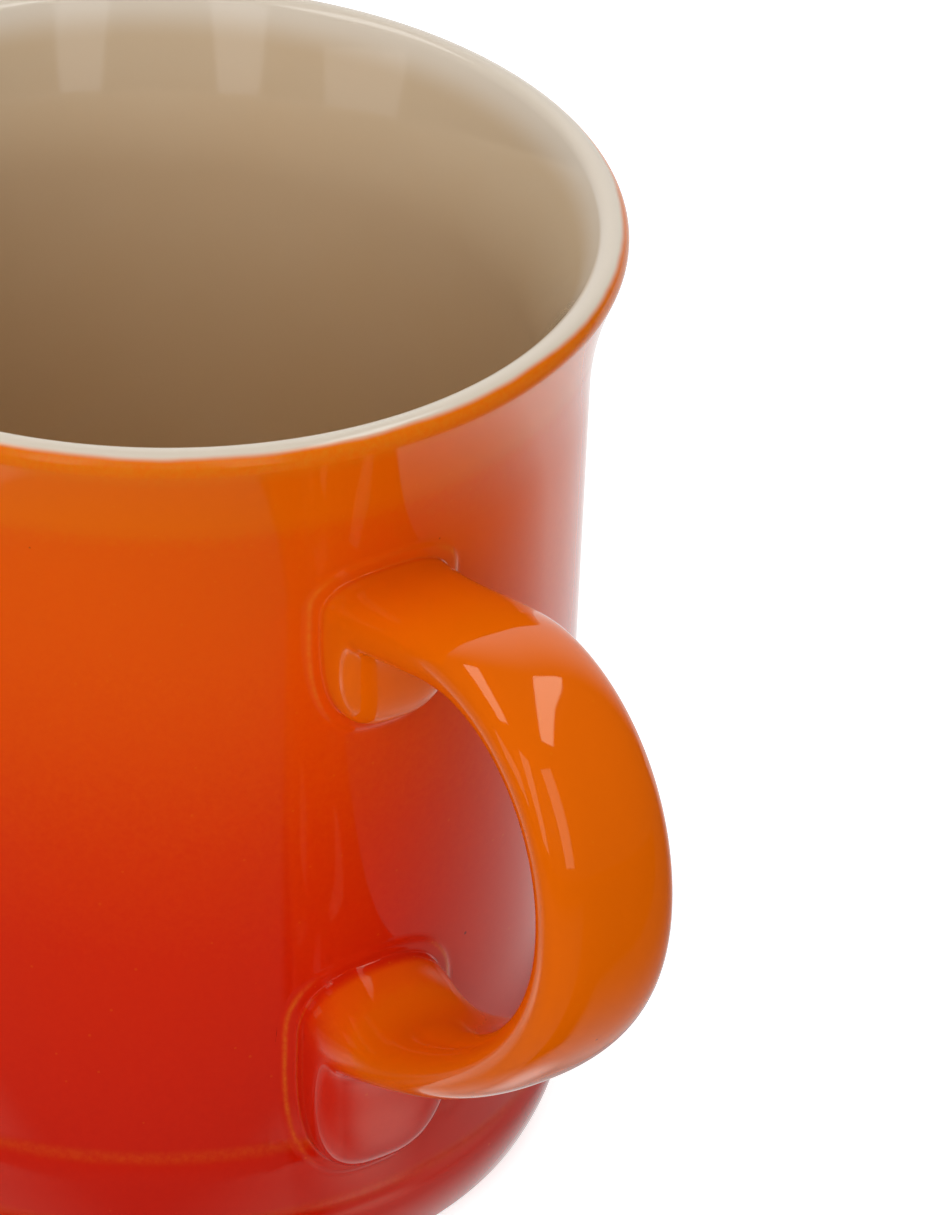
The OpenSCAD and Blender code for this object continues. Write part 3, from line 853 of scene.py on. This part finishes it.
def painted_mirrored_pool(tree, mm):
    """Painted light and shade on the paper that only the glaze's reflections see: how brightly it glows at
    each place, by millimetres across and away from the axis.
    """
    across = add(tree, "ShaderNodeVectorMath", {0: mm, 1: studio(1, 0, 0)},
                 operation="DOT_PRODUCT").outputs["Value"]
    away = add(tree, "ShaderNodeVectorMath", {0: mm, 1: studio(0, 1, 0)},
               operation="DOT_PRODUCT").outputs["Value"]
    aside = add(tree, "ShaderNodeMath", {0: across}, operation="ABSOLUTE").outputs[0]
    place = add(tree, "ShaderNodeCombineXYZ", {"X": aside, "Y": away}).outputs[0]
    from_axis = add(tree, "ShaderNodeVectorMath", {0: place}, operation="LENGTH").outputs["Value"]
    # painted light: the paper glows as if lit from behind, dimming towards the front and the sides, and is
    # painted bright close to the mug
    back = add(tree, "ShaderNodeVectorMath", {0: place, 1: (-0.54, 0.84, 0)},
               operation="DOT_PRODUCT").outputs["Value"]
    share = add(tree, "ShaderNodeMapRange", {"Value": back, "From Min": -140.0, "From Max": -20.0}).outputs[0]
    level = add(tree, "ShaderNodeMath", {0: share, 1: 1.8}, operation="POWER").outputs[0]
    near = add(tree, "ShaderNodeMapRange", {"Value": from_axis, "From Min": 52.0, "From Max": 72.0,
                                            "To Min": 0.6, "To Max": 0.06}).outputs[0]
    level = add(tree, "ShaderNodeMath", {0: level, 1: near}, operation="ADD", use_clamp=True).outputs[0]
    # a painted shadow of the foot darkens a ring of it, and a painted patch of light is brighter at each side
    # of the foot's front
    from_ring = add(tree, "ShaderNodeMath", {0: from_axis, 1: 57.0}, operation="SUBTRACT").outputs[0]
    from_ring = add(tree, "ShaderNodeMath", {0: from_ring}, operation="ABSOLUTE").outputs[0]
    shade = add(tree, "ShaderNodeMapRange", {"Value": from_ring, "From Min": 6.0, "From Max": 15.0,
                                             "To Min": 0.4, "To Max": 1.0}).outputs[0]
    level = add(tree, "ShaderNodeMath", {0: level, 1: shade}, operation="MULTIPLY").outputs[0]
    patch = add(tree, "ShaderNodeVectorMath", {0: place, 1: (42.0, -50.0, 0)},
                operation="DISTANCE").outputs["Value"]
    patch = add(tree, "ShaderNodeMapRange", {"Value": patch, "From Min": 2.0, "From Max": 14.0,
                                             "To Min": 0.6, "To Max": 0.0},
                interpolation_type="SMOOTHSTEP").outputs[0]
    level = add(tree, "ShaderNodeMath", {0: level, 1: patch}, operation="ADD", use_clamp=True).outputs[0]
    # a painted shadow of the mug: a wedge in front of it is kept dark, narrow and soft close to the foot
    wedge = add(tree, "ShaderNodeVectorMath", {0: place, 1: (0.707, 0.707, 0)},
                operation="DOT_PRODUCT").outputs["Value"]
    dark_side, bright_side = (
        add(tree, "ShaderNodeMapRange", {"Value": from_axis, "From Min": 56.0, "From Max": 90.0,
                                         "To Min": close, "To Max": far}).outputs[0]
        for close, far in ((-50.0, -12.0), (-16.0, -6.0)))
    clear = add(tree, "ShaderNodeMapRange", {"Value": wedge, "From Min": dark_side, "From Max": bright_side},
                interpolation_type="SMOOTHSTEP").outputs[0]
    # the painted glow ends about 100 mm in front of the axis, where the paper is taken to end
    on_paper = add(tree, "ShaderNodeMapRange", {"Value": away, "From Min": -106.0, "From Max": -97.0},
                   interpolation_type="SMOOTHSTEP").outputs[0]
    pool = add(tree, "ShaderNodeMath", {0: level, 1: clear}, operation="MULTIPLY").outputs[0]
    pool = add(tree, "ShaderNodeMath", {0: pool, 1: on_paper}, operation="MULTIPLY").outputs[0]
    # a dim painted gleam in front and to the left, which ends with the table
    gleam = add(tree, "ShaderNodeVectorMath", {0: mm, 1: studio(1, 0.66, 0)},
                operation="DOT_PRODUCT").outputs["Value"]
    gleam = add(tree, "ShaderNodeMapRange", {"Value": gleam, "From Min": -12.0, "From Max": -8.0,
                                             "To Min": 1.0, "To Max": 0.0},
                interpolation_type="SMOOTHSTEP").outputs[0]
    table = add(tree, "ShaderNodeMapRange",
                {"Value": away, "From Min": -420.0, "From Max": -230.0}).outputs[0]
    gleam = add(tree, "ShaderNodeMath", {0: gleam, 1: table}, operation="MULTIPLY").outputs[0]
    front = add(tree, "ShaderNodeMapRange", {"Value": away, "From Min": -120.0, "From Max": -75.0,
                                             "To Min": 0.08, "To Max": 0.13}).outputs[0]
    return add(tree, "ShaderNodeMath", {0: gleam, 1: front, 2: pool}, operation="MULTIPLY_ADD").outputs[0]


def pale_paper_floor():
    """White paper sweep: white to the camera, matt, and glowing with a painted pool of light and painted
    shade in the glaze's reflections.
    """
    material, tree, mm = new_material("pale_paper_floor")
    fibre = add(tree, "ShaderNodeTexNoise",
                {"Vector": mm, "Scale": 1 / PAPER_FIBRE, "Detail": 3.0}).outputs["Fac"]
    paper = add(tree, "ShaderNodeValToRGB", {0: fibre}, stops=[(0.3, "#E6E6E5"), (0.7, "#EAEAE9")]).outputs[0]
    lit = add(tree, "ShaderNodeBsdfDiffuse", {"Color": paper}).outputs[0]
    white = add(tree, "ShaderNodeEmission", {"Color": hex_colour(WHITE), "Strength": 0.72}).outputs[0]
    shown = add(tree, "ShaderNodeAddShader", {0: lit, 1: white}).outputs[0]
    # painted light: the glaze's reflections see the paper glow with the painted pool of light and shade
    mirrored = add(tree, "ShaderNodeEmission",
                   {"Color": hex_colour(WHITE), "Strength": painted_mirrored_pool(tree, mm)}).outputs[0]
    ray = add(tree, "ShaderNodeLightPath").outputs
    to_glaze = add(tree, "ShaderNodeMixShader", {0: ray["Is Glossy Ray"], 1: lit, 2: mirrored}).outputs[0]
    surface = add(tree, "ShaderNodeMixShader", {0: ray["Is Camera Ray"], 1: to_glaze, 2: shown}).outputs[0]
    add(tree, "ShaderNodeOutputMaterial", {"Surface": surface})
    return material


# a large pale floor in metres, a hair under the foot ring so that the two share no face
PAPER_HALF = 3.0
PAPER_Z = -0.05 * MM
corners = [(x * PAPER_HALF, y * PAPER_HALF, PAPER_Z) for x, y in ((-1, -1), (1, -1), (1, 1), (-1, 1))]
floor_mesh = bpy.data.meshes.new("floor")
floor_mesh.from_pydata(corners, [], [(0, 1, 2, 3)])
floor_mesh.materials.append(pale_paper_floor())
floor = bpy.data.objects.new("floor", floor_mesh)
bpy.context.scene.collection.objects.link(floor)


def studio_room():
    """The room: dim, with a pale backdrop low behind the mug, and white to the camera."""
    world = bpy.data.worlds.new("studio_room")
    world.use_nodes = True
    tree = world.node_tree
    tree.nodes.clear()
    direction = add(tree, "ShaderNodeTexCoord").outputs["Generated"]
    towards = add(tree, "ShaderNodeVectorMath", {0: direction, 1: studio(0, 1, 0.08).normalized()},
                  operation="DOT_PRODUCT").outputs["Value"]
    backdrop = add(tree, "ShaderNodeMapRange", {"Value": towards, "From Min": 0.52, "From Max": 0.88,
                                                "To Min": 0.04, "To Max": 1.0},
                   interpolation_type="SMOOTHSTEP").outputs[0]
    ray = add(tree, "ShaderNodeLightPath").outputs["Is Camera Ray"]
    level = add(tree, "ShaderNodeMath", {0: backdrop, 1: ray}, operation="MAXIMUM").outputs[0]
    ground = add(tree, "ShaderNodeBackground", {"Color": hex_colour(WHITE), "Strength": level})
    add(tree, "ShaderNodeOutputWorld", {"Surface": ground.outputs[0]})
    return world


bpy.context.scene.world = studio_room()
bpy.context.scene.view_settings.view_transform = "Standard"
